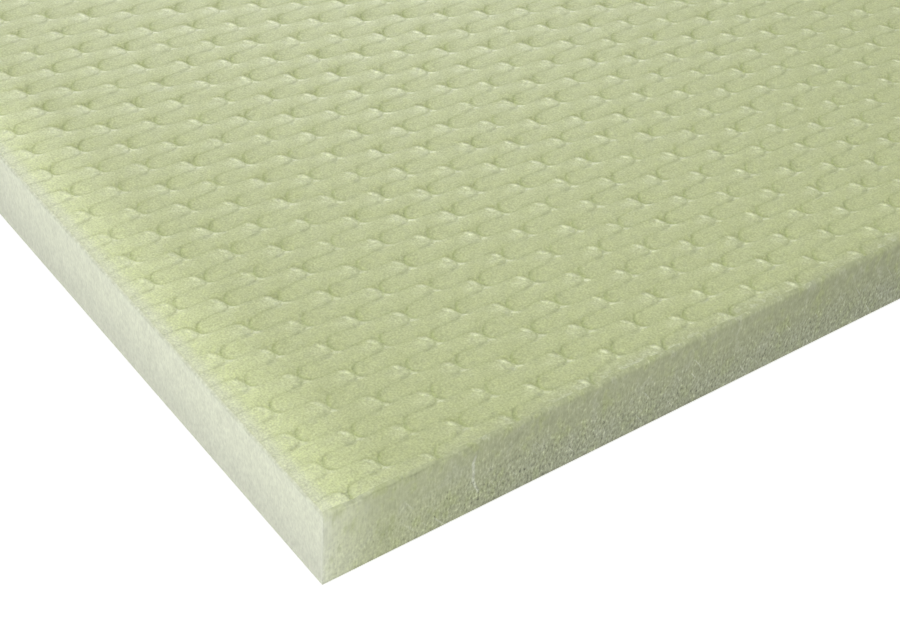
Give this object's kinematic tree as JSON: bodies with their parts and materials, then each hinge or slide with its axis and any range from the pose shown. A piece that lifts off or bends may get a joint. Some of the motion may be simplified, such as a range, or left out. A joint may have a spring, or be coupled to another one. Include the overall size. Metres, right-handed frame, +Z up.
{
  "type": "extruded polystyrene insulation board",
  "caption": "Flat rigid foam insulation board with square-cut edges and shallow embossed rows on both faces, laid or bonded to insulate floors, walls and plinths.",
  "frame": {"origin": "middle of the underside, on the plane of its crowns", "axes": "+X along the length and the embossed rows, +Y across the width to the rear edge, +Z up through the thickness"},
  "size_m": [1.25, 0.6, 0.04],
  "materials": {
    "foam": "pale yellow-green extruded foam, embossed skin on the faces, sawn fine-celled edges"
  },
  "bodies": {
    "root": {"board": "foam"}
  },
  "joints": []
}
